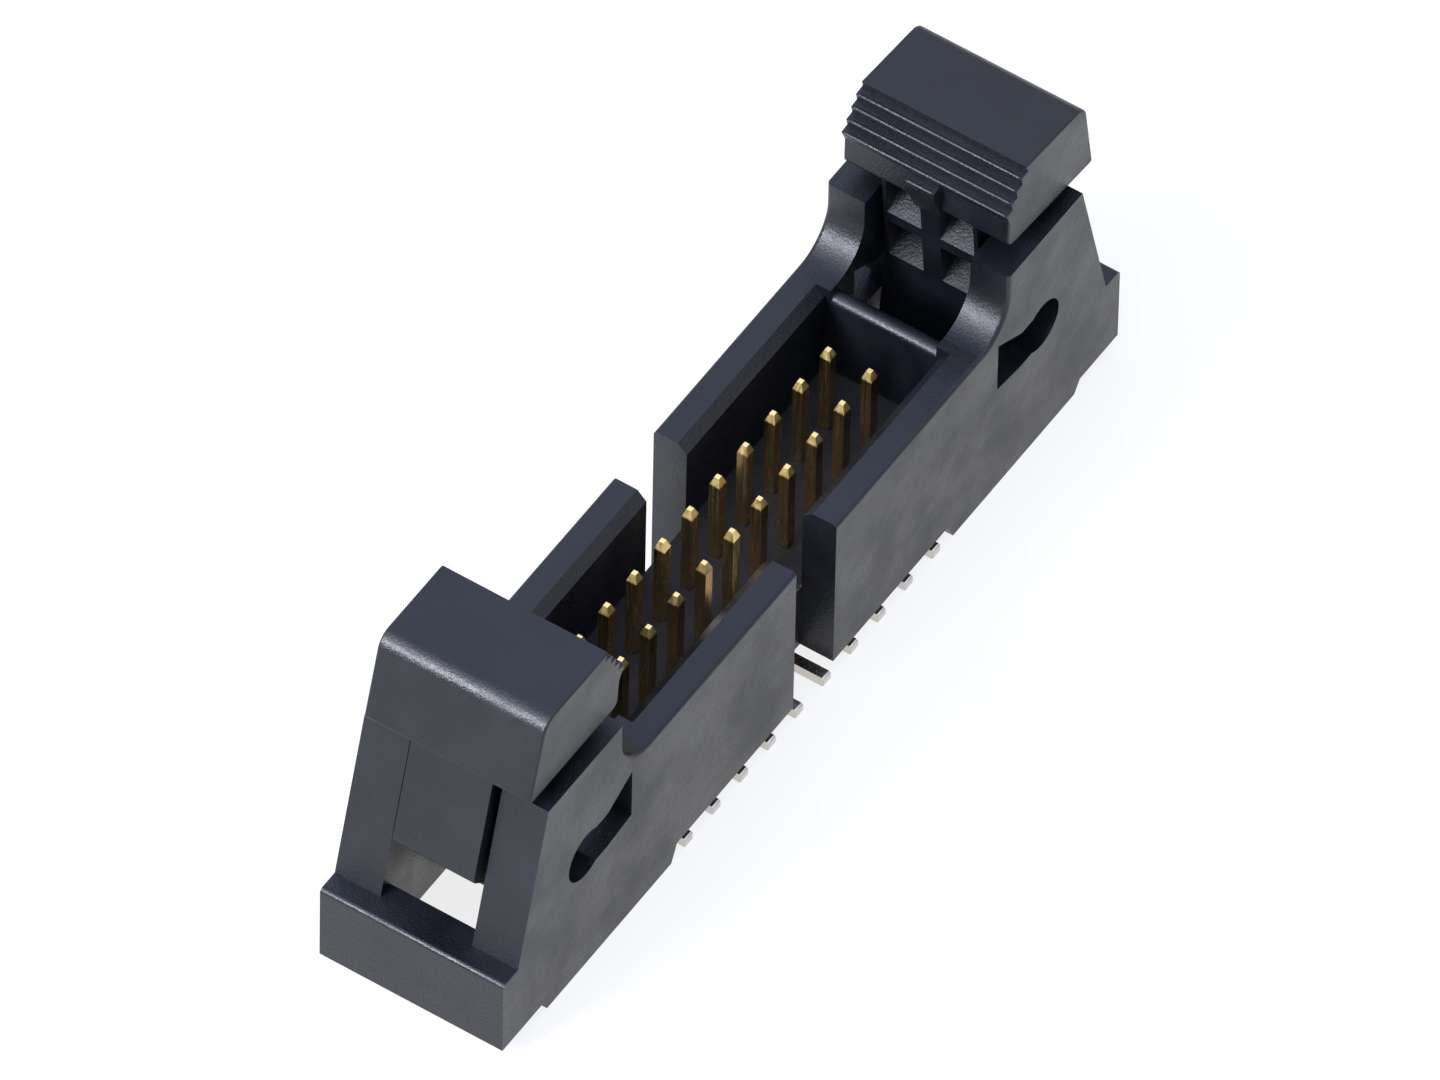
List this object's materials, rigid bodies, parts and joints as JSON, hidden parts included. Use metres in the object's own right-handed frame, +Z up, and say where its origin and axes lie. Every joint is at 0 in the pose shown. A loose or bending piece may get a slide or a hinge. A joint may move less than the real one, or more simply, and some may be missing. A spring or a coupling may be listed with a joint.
{
  "type": "board-to-board header",
  "caption": "Long narrow black header for a circuit board, with rows of square gold pins in an open shroud and a hinged ejector latch at each end.",
  "frame": {"origin": "centre of the underside, on the plane of the feet and the solder tails", "axes": "+X along the length towards the latch that leans outward, +Y across the width, +Z up out of the shroud"},
  "size_m": [0.0448, 0.0088, 0.0177],
  "materials": {
    "black_plastic": "satin",
    "plated_contact": "polished"
  },
  "bodies": {
    "shroud": {"housing": "black_plastic", "contact_01": "plated_contact", "contact_02": "plated_contact", "contact_03": "plated_contact", "contact_04": "plated_contact", "contact_05": "plated_contact", "contact_06": "plated_contact", "contact_07": "plated_contact", "contact_08": "plated_contact", "contact_09": "plated_contact", "contact_10": "plated_contact", "contact_11": "plated_contact", "contact_12": "plated_contact", "contact_13": "plated_contact", "contact_14": "plated_contact", "contact_15": "plated_contact", "contact_16": "plated_contact", "contact_17": "plated_contact", "contact_18": "plated_contact", "contact_19": "plated_contact", "contact_20": "plated_contact"},
    "near_latch": {"near_latch": "black_plastic"},
    "far_latch": {"far_latch": "black_plastic"}
  },
  "joints": [
    {"name": "near_latch_hinge", "type": "hinge", "parent": "shroud", "child": "near_latch", "pos_m": [-0.0165, 0, 0.00705], "axis": [0, -1, 0], "range_deg": [0, 15]},
    {"name": "far_latch_hinge", "type": "hinge", "parent": "shroud", "child": "far_latch", "pos_m": [0.0165, 0, 0.00705], "axis": [0, 1, 0], "range_deg": [-6, 9]}
  ]
}
